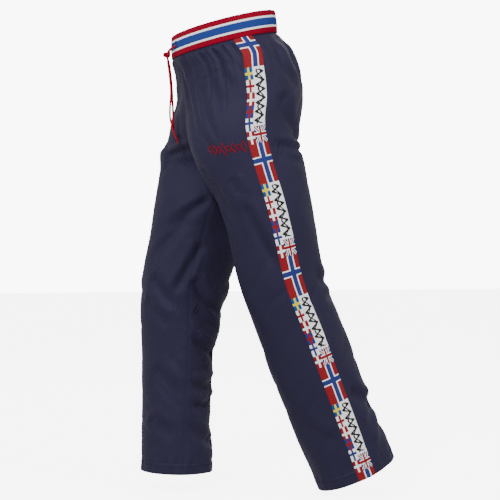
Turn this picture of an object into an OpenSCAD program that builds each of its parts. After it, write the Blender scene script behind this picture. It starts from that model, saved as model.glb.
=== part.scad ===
// Tracksuit trousers as worn in a walking step: a ribbed elastic waist with a drawcord, two legs
// of front and back panels, a woven tape down each outseam, and hemmed leg ends.
// Millimetres, +Z up, front towards -Y, the wearer's left towards +X.
// The origin is the centre of the waist opening, at the waistband's top edge.
//
// The legs are drawn straight down first, as horizontal rings that follow the stations below, and
// are then swung at the hip and bent at the knee into the step. Each panel is cut into a seat, a
// hip fold, a thigh, a knee fold and a shin stretch, because the cloth bends at the folds only.

/* [Waist] */
// Half width of the waist, side to side
waist_rx = 150; // [140:1:160]
// Half depth of the waist, front to back
waist_ry = 108; // [104:1:116]
// Height of the ribbed waistband
band_h = 49; // [42:1:52]
// How far the waist tips down at the front, in degrees
waist_tilt = 14; // [12:1:18]

/* [Seat and legs] */
// Half width of the hips
hip_half = 186; // [180:1:194]
// Half depth of the seat
seat_ry = 130; // [124:1:136]
// Depth of the crotch below the waist
rise = 300; // [295:1:305]
// Half depth of the thigh
thigh_ry = 97; // [92:1:102]
// Half depth of the leg at the knee
knee_ry = 88; // [84:1:94]
// Half depth of the leg end
hem_ry = 88; // [82:1:92]
// Half width of the leg end
hem_rx = 71; // [64:1:76]
// Length from the waist to the hem, with the leg straight
leg_length = 1012; // [980:1:1040]
// How much shorter the right shin hangs, where its cloth is bunched
right_bunch = 34; // [0:1:45]
// How much shallower the right shin is drawn, front to back
right_flat = 0.14; // [0:0.01:0.2]

/* [Step] */
// Left leg swung back at the hip, in degrees
left_swing = 14.5; // [0:0.5:20]
// Right leg swung forward at the hip, in degrees
right_swing = 12.5; // [0:0.5:20]
// Bend of the left knee, in degrees
left_bend = 7.5; // [0:0.5:15]
// Bend of the right knee, in degrees
right_bend = 11; // [0:0.5:15]

/* [Cloth and trim] */
// Thickness of the leg cloth
cloth = 2; // [1.5:0.1:2.5]
// Width of the outseam tape
tape_w = 40; // [30:1:45]
// Height of the turned-up hem
hem_h = 26; // [20:1:32]
// Diameter of the drawcord
cord_d = 4.4; // [4:0.1:4.6]

/* [Hidden] */
SIDES = ["left", "right"];
PANELS = ["front", "back"];
ZONES = ["seat", "hip_fold", "thigh", "knee_fold", "shin"];

NAVY = "#2c2d45";
RED = "#b0122a";
BLUE = "#2b57a8";
WHITE = "#f2f2f2";

seam_gap = 0.2;        // half the gap between the two halves along the centre seam
zone_gap = 0.6;        // gap between two stretches of one panel
columns = 10;          // facets across a panel
tape_off = 0.4;        // the tape's inner face, above the panels
tape_t = 1;
crease = 35;           // slope of the hip crease, from the crotch up to the hip
hip_fold_l = 108;      // length of the hip fold, square to the crease
hip_axis = [5, -200];  // y and z of the hip hinge
knee_z = -565;
knee_axis = [42, knee_z];
knee_fold_l = 190;
shin_l = leg_length + knee_z;
waist_slope = tan(waist_tilt);

// Rings of the straight leg: z, centre x, half width, centre y, half depth, front-to-back tilt.
// Above the crotch a ring is cut off at the centre seam, and from the crotch down it is whole.
leg_x = 98;
stations = [
    [0, 0, waist_rx, 0, waist_ry, waist_tilt],
    [-band_h, 0, waist_rx + 3, 3, waist_ry + 2, waist_tilt],
    [-92, 10, hip_half - 18, 25, seat_ry - 11, waist_tilt - 3],
    [-170, 30, hip_half - 30, 38, seat_ry - 5, waist_tilt / 2],
    [-240, 61, hip_half - 61, 26, seat_ry - 12, 3],
    [-rise, hip_half / 2 + 0.5, hip_half / 2 - 0.5, 16, thigh_ry + 10, 0],
    [-400, leg_x, 90, 16, thigh_ry, 0],
    [knee_z, leg_x, 80, 13, knee_ry, 0],
    [-700, leg_x, 75, 11, (knee_ry + hem_ry) / 2, 0],
    [-leg_length, leg_x, hem_rx, 9, hem_ry, 0]
];
last = len(stations) - 1;

// ---- The straight leg's surface ----

function span_of(z, i = 0) = (i >= last - 1 || z > stations[i + 1][0]) ? i : span_of(z, i + 1);

function slope_at(i, k) =
    let (a = stations[max(i - 1, 0)], b = stations[min(i + 1, last)])
    (b[k] - a[k]) / (b[0] - a[0]);

// Column k of the stations at height z, as a smooth curve through them.
function ring(z, k) =
    let (
        i = span_of(z),
        a = stations[i],
        b = stations[i + 1],
        h = b[0] - a[0],
        t = (z - a[0]) / h
    )
    a[k] * (1 + 2 * t) * (1 - t) * (1 - t) + b[k] * t * t * (3 - 2 * t)
    + h * slope_at(i, k) * t * (1 - t) * (1 - t) + h * slope_at(i + 1, k) * t * t * (t - 1);

// The angle at which a ring meets the centre seam, or nearly half a turn where it is whole.
function seam_angle(z) = acos(max(-0.99999, min(1, (seam_gap - ring(z, 1)) / ring(z, 2))));

// The angle of the outseam, which leans forward of the ring's side, mostly over the seat.
function outseam(z) =
    -3 - 6.5 * smooth((-z - 50) / 80) + 9.5 * max(0, min(1, (-z - 170) / 530));

// A point of the straight left leg: angle 0 is the ring's side and -90 the front.
function straight(z, angle, off) =
    let (y = ring(z, 3) + (ring(z, 4) + off) * sin(angle))
    [ring(z, 1) + (ring(z, 2) + off) * cos(angle), y, z + tan(ring(z, 5)) * y];

// ---- The step ----

function unit(v) = v / norm(v);

function smooth(t) = let (c = max(0, min(1, t))) c * c * (3 - 2 * c);

// p turned about the X axis through axis, backward when the angle is positive.
function swing(p, axis, angle) =
    let (y = p.y - axis[0], z = p.z - axis[1])
    [p.x, axis[0] + y * cos(angle) - z * sin(angle), axis[1] + y * sin(angle) + z * cos(angle)];

function hip_share(p) =
    smooth((p.x * sin(crease) - (p.z + rise) * cos(crease)) / hip_fold_l);

function knee_share(p) = smooth((knee_z + knee_fold_l / 2 - p.z) / knee_fold_l);

// The right shin is drawn shorter and shallower than the left one, and so a little wider.
function bunched(p, side) =
    side > 0 || p.z > knee_z ? p
    : let (
        flat = right_flat * smooth((knee_z - p.z) / 160),
        centre = ring(p.z, 3),
        drop = max(0, knee_z - p.z)
    )
    [
        leg_x + (p.x - leg_x) * (1 + 0.5 * flat),
        centre + (p.y - centre) * (1 - flat),
        p.z + drop * right_bunch / shin_l
    ];

function posed(p, side) =
    let (
        hip_angle = side > 0 ? left_swing : -right_swing,
        knee_angle = side > 0 ? left_bend : right_bend,
        short = bunched(p, side),
        bent = swing(short, knee_axis, knee_share(p) * knee_angle),
        swung = swing(bent, hip_axis, hip_share(p) * hip_angle)
    )
    [side * swung.x, swung.y, swung.z];

// ---- Where the stretches of a panel begin and end; u is 0 at the outseam and 1 at the inseam ----

function crease_z(u) = -rise + tan(crease) * hip_half / 2 * (1 + cos(180 * u));
hip_fold_drop = hip_fold_l / cos(crease);
function zone_top(i, u) =
    i == 0 ? -band_h - 1
    : i == 1 ? crease_z(u)
    : i == 2 ? crease_z(u) - hip_fold_drop
    : i == 3 ? knee_z + knee_fold_l / 2
    : i == 4 ? knee_z - knee_fold_l / 2
    : -leg_length;
zone_rows = [6, 4, 3, 3, 8];

// How far down a stretch its i-th row lies, as a share. The seat's rows crowd towards the crotch.
function row_share(zone, i) =
    let (t = i / zone_rows[zone])
    zone == 0 ? t * (1.7 - 0.7 * t) : t;

// ---- Closed solids from grids of points ----

// Two triangles for each cell between the index lists a and b, which run side by side.
function strip(a, b) =
    [for (j = [0:len(a) - 2]) each [[a[j], a[j + 1], b[j]], [a[j + 1], b[j + 1], b[j]]]];

function flipped(faces, flip) = flip ? [for (f = faces) [f[2], f[1], f[0]]] : faces;

// A sheet with two faces: outer and inner are lists of rows of points, all of one length.
module sheet(outer, inner, flip) {
    rows = len(outer);
    cols = len(outer[0]);
    layer = rows * cols;
    line = function (l, i) [for (j = [0:cols - 1]) l * layer + i * cols + j];
    edge = function (l, j) [for (i = [0:rows - 1]) l * layer + i * cols + j];
    faces = concat(
        strip(line(1, 0), line(0, 0)),
        strip(line(0, rows - 1), line(1, rows - 1)),
        strip(edge(0, 0), edge(1, 0)),
        strip(edge(1, cols - 1), edge(0, cols - 1)),
        [for (i = [0:rows - 2]) each strip(line(0, i), line(0, i + 1))],
        [for (i = [0:rows - 2]) each strip(line(1, i + 1), line(1, i))]
    );
    polyhedron([for (r = outer) each r, for (r = inner) each r], flipped(faces, flip));
}

// A closed section carried round a closed loop: loops[i] is the i-th copy of the section.
module closed_sweep(loops, flip = false) {
    n = len(loops);
    m = len(loops[0]);
    line = function (i) [for (j = [0:m]) (i % n) * m + j % m];
    faces = [for (i = [0:n - 1]) each strip(line(i), line(i + 1))];
    polyhedron([for (l = loops) each l], flipped(faces, flip));
}

// ---- Panels, tapes and hems ----

// The point of a panel at share u of its width, on row i of a zone. dir is -1 for the front.
function panel_point(zone, i, u, dir, side) =
    let (
        top = zone_top(zone, u) - zone_gap / 2,
        bottom = zone_top(zone + 1, u) + (zone == 4 ? hem_h + 1.5 * zone_gap : zone_gap / 2),
        z = top + (bottom - top) * row_share(zone, i),
        angle = outseam(z) * (1 - u) + dir * (0.15 + u * (seam_angle(z) - 0.3))
    )
    posed(straight(z, angle, 0), side);

// The way out of the cloth at that point.
function panel_normal(zone, i, u, dir, side) =
    let (
        h = 0.02,
        along = panel_point(zone, i, u + h, dir, side) - panel_point(zone, i, u - h, dir, side),
        down = panel_point(zone, i + h, u, dir, side) - panel_point(zone, i - h, u, dir, side)
    )
    -side * dir * unit(cross(along, down));

module panel(side, dir, zone) {
    outer = [
        for (i = [0:zone_rows[zone]])
            [for (j = [0:columns]) panel_point(zone, i, j / columns, dir, side)]
    ];
    inner = [
        for (i = [0:zone_rows[zone]]) [
            for (j = [0:columns])
                outer[i][j] - cloth * panel_normal(zone, i, j / columns, dir, side)
        ]
    ];
    color(NAVY) sheet(outer, inner, side * dir < 0);
}

// Half the angle that the tape spans on a ring.
function tape_angle(z) = tape_w / 2 / ring(z, 4) * 180 / PI;

module tape(side, zone) {
    rows = zone_rows[zone];
    columns = 4;
    grid = function (off) [
        for (i = [0:rows]) [
            for (j = [0:columns])
                let (
                    top = zone_top(zone, 0) - zone_gap / 2,
                    bottom = zone_top(zone + 1, 0) + zone_gap / 2,
                    z = top + (bottom - top) * row_share(zone, i),
                    angle = outseam(z) + (2 * j / columns - 1) * tape_angle(z)
                )
                posed(straight(z, angle, off), side)
        ]
    ];
    color(RED) sheet(grid(tape_off + tape_t), grid(tape_off), side < 0);
}

// The turned-up leg end: two layers of cloth, all round.
module hem(side) {
    steps = 24;
    thick = 1.5 * cloth;
    color(NAVY) closed_sweep([
        for (i = [0:steps - 1])
            let (angle = 360 * i / steps)
            [
                for (corner = [[hem_h, 0], [0, 0], [0, -thick], [hem_h, -thick]])
                    posed(straight(-leg_length + corner[0], angle, corner[1]), side)
            ]
    ], side < 0);
}

// ---- Waist ----

// A point of the waistband, whose sides are straight: drop is measured down from the top edge.
function band_point(drop, angle, off) =
    let (
        top = stations[0],
        flare = (stations[1] - top) * drop / band_h,
        y = top[3] + flare[3] + (top[4] + flare[4] + off) * sin(angle),
        x = (top[2] + flare[2] + off) * cos(angle)
    )
    [x, y, -drop + waist_slope * y];

band_steps = 64;
fold_depth = 6.4;  // from the outer face of the folded rib to its inner face
rib_t = 1.6;

module band_ring(section, steps) {
    closed_sweep([
        for (i = [0:steps - 1])
            [for (c = section) band_point(c[0], 360 * i / steps, c[1])]
    ]);
}

exit_angle = 4.4;      // of each buttonhole from the centre front, round the waist
exit_drop = band_h / 2;
hole_w = 7;
hole_h = 13;
hole_rim = 1.8;

function exit_point(side, off) = band_point(exit_drop, -90 + side * exit_angle, off);

// How far the band's face leans back towards its bottom edge, at the centre front.
face_back = stations[1][3] - stations[1][4] + waist_ry;
face_lean = atan(face_back / (band_h - waist_slope * face_back));

// Children stand at a buttonhole with +Z out of the waistband and +Y up.
module at_exit(side) {
    translate(exit_point(side, 0)) rotate([90 + face_lean, 0, side * exit_angle]) children();
}

module slot(w, h, depth) {
    linear_extrude(height = depth) hull() for (y = [-1, 1])
        translate([0, y * (h - w) / 2]) circle(d = w, $fn = 20);
}

// One knitted band folded over at the top, open at the bottom where it is sewn to the panels.
module waistband_rib() {
    color(BLUE) difference() {
        band_ring([
            [band_h, 0], [0, 0], [0, -fold_depth], [band_h, -fold_depth],
            [band_h, rib_t - fold_depth], [rib_t, rib_t - fold_depth], [rib_t, -rib_t], [band_h, -rib_t]
        ], band_steps);
        for (side = [1, -1])
            at_exit(side) translate([0, 0, -rib_t - 0.8]) slot(hole_w, hole_h, rib_t + 2);
    }
}

module waist_elastic() {
    color(WHITE) band_ring([[4, -3.7], [4, -4.6], [band_h - 4, -4.6], [band_h - 4, -3.7]], band_steps);
}

// The drawcord lies flat in the band, from one buttonhole round the back to the other.
module drawcord_in_waistband() {
    half_h = 3;
    steps = 60;
    start = -90 + exit_angle + 3.4;
    sweep = 360 - 2 * (exit_angle + 3.4);
    row = function (drop, off) [
        for (i = [0:steps]) band_point(drop, start + sweep * i / steps, off)
    ];
    color(RED) sheet(
        [row(exit_drop - half_h, -2.2), row(exit_drop + half_h, -2.2)],
        [row(exit_drop - half_h, -3.3), row(exit_drop + half_h, -3.3)],
        false
    );
}

// The stitched rims of the two buttonholes, standing on the band's outer face.
module buttonhole_stitching() {
    color(BLUE) for (side = [1, -1])
        at_exit(side) translate([0, 0, 0.15]) difference() {
            slot(hole_w + 2 * hole_rim, hole_h + 2 * hole_rim, 0.8);
            translate([0, 0, -0.5]) slot(hole_w, hole_h, 2);
        }
}

// ---- Drawcord outside the band ----

// The right-hand end: out of its buttonhole to the knot, and from the knot down the front. The
// left-hand end is its mirror image in the first part, and hangs a little longer in the second.
lead_route = [
    [11.2, -105, -52], [11.2, -109, -53.5], [9, -115, -57], [5.4, -119.5, -62], [3.6, -122, -66.5]
];
knot_at = [0, -123.5, -70.5];
tail_routes = [
    [
        [2.7, -124, -74], [2.8, -123.5, -88], [2.7, -121, -106], [2.6, -118.5, -128],
        [2.6, -117, -148], [2.7, -117.5, -168], [2.8, -119, -188], [2.8, -118.5, -206],
        [2.7, -115, -222], [2.6, -109.5, -238], [2.6, -103.5, -252]
    ],
    [
        [-2.7, -124, -74], [-2.8, -120, -88], [-2.7, -117, -106], [-2.6, -114.5, -128],
        [-2.6, -113, -148], [-2.7, -112, -168], [-2.8, -111, -186], [-2.8, -110.5, -204],
        [-2.7, -110, -222]
    ]
];
tip_l = 9;

function route_dir(route, i) =
    unit(route[min(i + 1, len(route) - 1)] - route[max(i - 1, 0)]);

// A round tube along a route that runs mostly square to X, with flat ends.
module tube(route, d) {
    sides = 8;
    n = len(route);
    rings = [
        for (i = [0:n - 1])
            let (
                dir = route_dir(route, i),
                across = unit([1, 0, 0] - dir.x * dir),
                up = cross(dir, across)
            )
            [
                for (j = [0:sides - 1])
                    route[i] + d / 2 * (cos(360 * j / sides) * across + sin(360 * j / sides) * up)
            ]
    ];
    line = function (i) [for (j = [0:sides]) i * sides + j % sides];
    faces = concat(
        [for (i = [0:n - 2]) each strip(line(i + 1), line(i))],
        [[for (j = [0:sides - 1]) j]],
        [[for (j = [sides - 1:-1:0]) (n - 1) * sides + j]]
    );
    polyhedron([for (r = rings) each r], faces);
}

module drawcord_tail(i) {
    color(RED) tube(tail_routes[i], cord_d);
}

module drawcord_lead(side) {
    route = [for (p = lead_route) [side * p.x, p.y, p.z]];
    color(RED) tube(route, cord_d);
}

// Both ends tied together once: a flattened lump wider than it is high.
module drawcord_knot() {
    color(RED) hull() for (x = [-1, 1])
        translate(knot_at + [x * 3, 0, 0]) sphere(r = 5.4, $fn = 20);
}

// The heat-sealed ends, just past the ends of the tails.
module drawcord_tips() {
    color(RED) for (route = tail_routes) {
        end = route[len(route) - 1];
        dir = route_dir(route, len(route) - 1);
        translate(end + 0.1 * dir)
            rotate([acos(dir.z), 0, atan2(dir.y, dir.x) + 90])
                cylinder(d = cord_d * 0.9, h = tip_l, $fn = 24);
    }
}

// ---- Trim ----

// A raised patch of stitching on the left thigh's front.
module thigh_embroidery() {
    rows = 2;
    columns = 6;
    top = -258;
    bottom = -286;
    grid = function (off) [
        for (i = [0:rows]) [
            for (j = [0:columns])
                posed(straight(top + (bottom - top) * i / rows, -20 - 40 * j / columns, off), 1)
        ]
    ];
    color(RED) sheet(grid(1), grid(0.2), true);
}

// ---- Nodes ----

for (s = [0, 1]) {
    side = 1 - 2 * s;
    for (zone = [0:4]) {
        for (p = [0, 1])
            panel(side, 2 * p - 1, zone);
        tape(side, zone);
    }
    hem(side);
}
waistband_rib();
waist_elastic();
drawcord_in_waistband();
buttonhole_stitching();
drawcord_lead(1);  // drawcord_left_lead
drawcord_lead(-1);  // drawcord_right_lead
drawcord_tail(0);  // drawcord_left_tail
drawcord_tail(1);  // drawcord_right_tail
drawcord_knot();
drawcord_tips();
thigh_embroidery();
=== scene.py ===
import math

import bpy
import numpy as np
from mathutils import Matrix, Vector


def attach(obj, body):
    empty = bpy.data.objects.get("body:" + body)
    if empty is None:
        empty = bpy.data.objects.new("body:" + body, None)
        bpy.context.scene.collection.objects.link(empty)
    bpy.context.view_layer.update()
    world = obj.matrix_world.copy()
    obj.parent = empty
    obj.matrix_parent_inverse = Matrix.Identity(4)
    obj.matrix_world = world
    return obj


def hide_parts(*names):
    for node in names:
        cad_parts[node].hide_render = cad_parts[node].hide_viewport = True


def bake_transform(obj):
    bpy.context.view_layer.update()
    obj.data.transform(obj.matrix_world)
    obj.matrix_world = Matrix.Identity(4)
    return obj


# Tracksuit trousers held in a walking step. Metres, +Z up, front towards -Y, the wearer's left
# towards +X, and the origin at the centre of the waist opening.
#
# The cloth is worked out on the straight leg, as rings with folds pressed into them, and is then
# swung at the hip and bent at the knee into the step, as the CAD panels are.

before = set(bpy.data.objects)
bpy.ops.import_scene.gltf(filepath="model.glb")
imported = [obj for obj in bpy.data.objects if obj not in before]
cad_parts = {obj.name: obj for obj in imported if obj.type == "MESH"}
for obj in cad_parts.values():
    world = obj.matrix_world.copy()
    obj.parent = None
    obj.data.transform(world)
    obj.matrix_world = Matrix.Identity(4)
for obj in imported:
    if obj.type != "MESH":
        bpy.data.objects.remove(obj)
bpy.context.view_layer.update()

SIDES = (1, -1)                     # the wearer's left and right
SIDE_NAME = {1: "left", -1: "right"}
PANELS = {-1: "front", 1: "back"}

# ---- Driving sizes ----

WAIST_RX, WAIST_RY, BAND_H = 0.150, 0.108, 0.049
WAIST_TILT = math.radians(14)
HIP_HALF, SEAT_RY, RISE = 0.186, 0.130, 0.300
THIGH_RY, KNEE_RY, HEM_RX, HEM_RY = 0.097, 0.088, 0.071, 0.088
LEG_LENGTH, LEG_X = 1.012, 0.098
HIP_AXIS = (0.005, -0.200)
KNEE_Z = -0.565
KNEE_AXIS = (0.042, KNEE_Z)
HIP_SWING = {1: math.radians(14.5), -1: math.radians(-12.5)}
KNEE_BEND = {1: math.radians(7.5), -1: math.radians(11)}
CREASE = math.radians(35)
HIP_FOLD_L, KNEE_FOLD_L = 0.108, 0.190
RIGHT_BUNCH, RIGHT_FLAT = 0.034, 0.14
SEAM_LAP = 0.00005                  # how far the panels pass the centre plane at a seam
SEAM_LAP_TURN = 0.03                # and how far they pass the inseam, in degrees

CLOTH = 0.0011                      # thickness of the leg cloth
TAPE_W = 0.040
TAPE_OFF, TAPE_T = 0.0004, 0.0010
HEM_H = 0.026
SPLIT_Z = -0.466                    # where a panel's upper and lower pieces meet, on the thigh
CORD_D = 0.0044

# Rings of the straight leg: z, centre x, half width, centre y, half depth, front-to-back tilt.
STATIONS = np.array([
    [0, 0, WAIST_RX, 0, WAIST_RY, WAIST_TILT],
    [-BAND_H, 0, WAIST_RX + 0.003, 0.003, WAIST_RY + 0.002, WAIST_TILT],
    [-0.092, 0.010, HIP_HALF - 0.018, 0.025, SEAT_RY - 0.011, WAIST_TILT - math.radians(3)],
    [-0.170, 0.030, HIP_HALF - 0.030, 0.038, SEAT_RY - 0.005, WAIST_TILT / 2],
    [-0.240, 0.061, HIP_HALF - 0.061, 0.026, SEAT_RY - 0.012, math.radians(3)],
    [-RISE, HIP_HALF / 2 + 0.0005, HIP_HALF / 2 - 0.0005, 0.016, THIGH_RY + 0.010, 0],
    [-0.400, LEG_X, 0.090, 0.016, THIGH_RY, 0],
    [KNEE_Z, LEG_X, 0.080, 0.013, KNEE_RY, 0],
    [-0.700, LEG_X, 0.075, 0.011, (KNEE_RY + HEM_RY) / 2, 0],
    [-LEG_LENGTH, LEG_X, HEM_RX, 0.009, HEM_RY, 0],
])

# ---- Camera ----

AIM = Vector((0, 0.062, -0.489))
CAMERA_AZIMUTH = math.radians(72)
CAMERA_DISTANCE = 3.0


def make_camera():
    data = bpy.data.cameras.new("camera")
    data.sensor_width = 36
    data.lens = 99
    camera = bpy.data.objects.new("camera", data)
    bpy.context.scene.collection.objects.link(camera)
    back = Vector((math.sin(CAMERA_AZIMUTH), -math.cos(CAMERA_AZIMUTH), 0))
    camera.location = AIM + CAMERA_DISTANCE * back
    camera.rotation_euler = (-back).to_track_quat("-Z", "Y").to_euler()
    bpy.context.scene.camera = camera


make_camera()

# ---- Meshes ----


def new_mesh(name, verts, faces, uv=None, normals=None, smooth=True):
    """A mesh object. uv and normals are one row for each vertex."""
    mesh = bpy.data.meshes.new(name)
    mesh.from_pydata(np.asarray(verts).tolist(), [], [list(f) for f in faces])
    mesh.update()
    if uv is not None:
        corner = np.zeros(len(mesh.loops), np.int32)
        mesh.loops.foreach_get("vertex_index", corner)
        layer = mesh.uv_layers.new(name="cloth")
        layer.data.foreach_set("uv", np.asarray(uv)[corner].astype(np.float32).ravel())
    mesh.polygons.foreach_set("use_smooth", [smooth] * len(mesh.polygons))
    if normals is not None:
        mesh.normals_split_custom_set_from_vertices(np.asarray(normals).tolist())
    piece = bpy.data.objects.new(name, mesh)
    bpy.context.scene.collection.objects.link(piece)
    return piece


def signed_volume(verts, faces):
    a, b, c = (verts[faces[:, k]] for k in range(3))
    d = verts[faces[:, 3]]
    return np.sum(a * np.cross(b, c)) + np.sum(a * np.cross(c, d))


def shell_faces(rows, cols, closed):
    """Quads of a closed sheet whose outer layer is followed by its inner layer."""
    grid = np.arange(rows * cols).reshape(rows, cols)
    if closed:
        grid = np.hstack([grid, grid[:, :1]])
    under = grid + rows * cols

    def cells(a, b):
        return np.stack([a[:-1], a[1:], b[1:], b[:-1]], -1).reshape(-1, 4)

    parts = [cells(under[0], grid[0]), cells(grid[-1], under[-1])]
    for i in range(rows - 1):
        parts.append(cells(grid[i], grid[i + 1]))
        parts.append(cells(under[i + 1], under[i]))
    if not closed:
        parts.append(cells(grid[:, 0], under[:, 0]))
        parts.append(cells(under[:, -1], grid[:, -1]))
    return np.vstack(parts)


def shell(name, outer, inner, uv, normals=None, closed=False):
    """A closed sheet between two grids of points of shape (rows, columns, 3)."""
    rows, cols = outer.shape[:2]
    verts = np.vstack([outer.reshape(-1, 3), inner.reshape(-1, 3)])
    faces = shell_faces(rows, cols, closed)
    if signed_volume(verts, faces) < 0:
        faces = faces[:, ::-1]
    uv = np.vstack([uv.reshape(-1, 2)] * 2)
    if normals is not None:
        flat = normals.reshape(-1, 3)
        normals = np.vstack([flat, -flat])
    return new_mesh(name, verts, faces, uv, normals)


def closed_band(name, loops, uv):
    """A band whose outline closes on itself; loops holds its rings, (points of it, round it, 3)."""
    verts = loops.reshape(-1, 3)
    n, m = loops.shape[:2]
    grid = np.arange(n * m).reshape(n, m)
    grid = np.vstack([grid, grid[:1]])
    grid = np.hstack([grid, grid[:, :1]])
    faces = np.stack([grid[:-1, :-1], grid[1:, :-1], grid[1:, 1:], grid[:-1, 1:]], -1)
    faces = faces.reshape(-1, 4)
    if signed_volume(verts, faces) < 0:
        faces = faces[:, ::-1]
    return new_mesh(name, verts, faces, uv.reshape(-1, 2))


def tube(name, path, radius, sides=14, bumps=None):
    """A closed tube of that radius along a path; bumps(along, angle) adds to the radius."""
    path = np.asarray(path, float)
    ahead = np.gradient(path, axis=0)
    ahead /= np.linalg.norm(ahead, axis=1)[:, None]
    along = np.r_[0, np.cumsum(np.linalg.norm(np.diff(path, axis=0), axis=1))]
    across = np.zeros_like(path)
    guide = np.array([1.0, 0, 0])
    for i, d in enumerate(ahead):
        guide = guide - guide.dot(d) * d
        guide /= np.linalg.norm(guide)
        across[i] = guide
    up = np.cross(ahead, across)
    angle = 2 * math.pi * np.arange(sides) / sides
    r = np.full((len(path), sides), radius, float)
    if bumps is not None:
        r = r + bumps(along[:, None], angle[None, :])
    rings = path[:, None] + r[..., None] * (
        np.cos(angle)[None, :, None] * across[:, None] + np.sin(angle)[None, :, None] * up[:, None])
    verts = np.vstack([rings.reshape(-1, 3), path[:1], path[-1:]])
    grid = np.arange(len(path) * sides).reshape(len(path), sides)
    grid = np.hstack([grid, grid[:, :1]])
    faces = [
        (grid[i, j], grid[i, j + 1], grid[i + 1, j + 1], grid[i + 1, j])
        for i in range(len(path) - 1) for j in range(sides)]
    first, last = len(verts) - 2, len(verts) - 1
    faces += [(grid[0, j + 1], grid[0, j], first) for j in range(sides)]
    faces += [(grid[-1, j], grid[-1, j + 1], last) for j in range(sides)]
    uv = np.zeros((len(verts), 2))
    uv[:-2, 0] = np.tile(angle * radius, len(path))
    uv[:-2, 1] = np.repeat(along, sides)
    return new_mesh(name, verts, faces, uv)


def smooth_path(points, step):
    """A curve through the points with about that spacing, by Catmull-Rom."""
    p = np.asarray(points, float)
    p = np.vstack([2 * p[0] - p[1], p, 2 * p[-1] - p[-2]])
    out = []
    for a, b, c, d in zip(p[:-3], p[1:-2], p[2:-1], p[3:]):
        n = max(2, int(np.linalg.norm(c - b) / step))
        t = np.arange(n)[:, None] / n
        out.append(0.5 * (2 * b + (c - a) * t + (2 * a - 5 * b + 4 * c - d) * t ** 2
                          + (3 * b - a - 3 * c + d) * t ** 3))
    return np.vstack(out + [p[-2:-1]])


# ---- Node expressions for the materials ----


class Value:
    """A number that a node tree works out; arithmetic on it adds math nodes."""

    def __init__(self, tree, source):
        self.tree = tree
        self.source = source

    def math(self, operation, *others):
        node = self.tree.nodes.new("ShaderNodeMath")
        node.operation = operation
        for socket, item in zip(node.inputs, (self, *others)):
            if isinstance(item, Value):
                self.tree.links.new(item.source, socket)
            else:
                socket.default_value = item
        return Value(self.tree, node.outputs[0])

    def __add__(self, other):
        return self.math("ADD", other)

    def __sub__(self, other):
        return self.math("SUBTRACT", other)

    def __mul__(self, other):
        return self.math("MULTIPLY", other)

    def mod(self, period):
        return self.math("FLOORED_MODULO", period)

    def sine(self):
        return self.math("SINE")

    def within(self, middle, half):
        """1 where the value is within half of middle, or else 0."""
        return (self - middle).math("ABSOLUTE").math("LESS_THAN", half)

    def between(self, low, high):
        return self.within((low + high) / 2, (high - low) / 2)

    def above(self, limit):
        return self.math("GREATER_THAN", limit)

    def either(self, other):
        return self.math("MAXIMUM", other)


class Material:
    """A Principled material with short calls for what the cloths need."""

    def __init__(self, name, **sockets):
        self.made = bpy.data.materials.new(name)
        self.made.use_nodes = True
        self.tree = self.made.node_tree
        self.shader = self.tree.nodes["Principled BSDF"]
        for socket, value in sockets.items():
            self.shader.inputs[socket.replace("_", " ")].default_value = value

    def node(self, kind, **inputs):
        node = self.tree.nodes.new(kind)
        for socket, value in inputs.items():
            node.inputs[socket.replace("_", " ")].default_value = value
        return node

    def link(self, a, b):
        self.tree.links.new(a, b)

    def uv(self):
        """The cloth coordinates in millimetres: across and along."""
        source = self.node("ShaderNodeUVMap")
        source.uv_map = "cloth"
        split = self.node("ShaderNodeSeparateXYZ")
        self.link(source.outputs[0], split.inputs[0])
        return [Value(self.tree, s) * 1000 for s in split.outputs[:2]]

    def noise(self, scale, detail=2.0, stretch=(1, 1, 1)):
        where = self.node("ShaderNodeTexCoord")
        mapping = self.node("ShaderNodeMapping")
        mapping.inputs["Scale"].default_value = stretch
        self.link(where.outputs["Object"], mapping.inputs[0])
        noise = self.node("ShaderNodeTexNoise", Scale=scale, Detail=detail)
        self.link(mapping.outputs[0], noise.inputs["Vector"])
        return Value(self.tree, noise.outputs[0])

    def mix(self, share, a, b):
        """Colour a where share is 0 and b where it is 1."""
        mix = self.tree.nodes.new("ShaderNodeMix")
        mix.data_type = "RGBA"
        self.link(share.source, mix.inputs["Factor"])
        for socket, colour in ((mix.inputs[6], a), (mix.inputs[7], b)):
            if isinstance(colour, tuple):
                socket.default_value = (*colour, 1)
            else:
                self.link(colour, socket)
        return mix.outputs[2]

    def colour(self, output):
        self.link(output, self.shader.inputs["Base Color"])

    def rough(self, value):
        self.link(value.source, self.shader.inputs["Roughness"])

    def bump(self, height, distance, strength=1.0):
        bump = self.node("ShaderNodeBump", Strength=strength, Distance=distance)
        self.link(height.source, bump.inputs["Height"])
        self.link(bump.outputs[0], self.shader.inputs["Normal"])


NAVY = (0.0176, 0.0156, 0.0375)
NAVY_LIGHT = (0.0232, 0.0206, 0.0470)
RED = (0.29, 0.0, 0.017)
RED_DARK = (0.21, 0.0, 0.012)
BLUE = (0.019, 0.047, 0.228)
WHITE = (0.93, 0.93, 0.94)
BLACK = (0.012, 0.012, 0.016)
YELLOW = (0.74, 0.60, 0.03)
TAPE_RED = (0.24, 0.008, 0.013)
TAPE_BLUE = (0.020, 0.031, 0.17)
SKY = (0.008, 0.065, 0.24)


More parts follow.
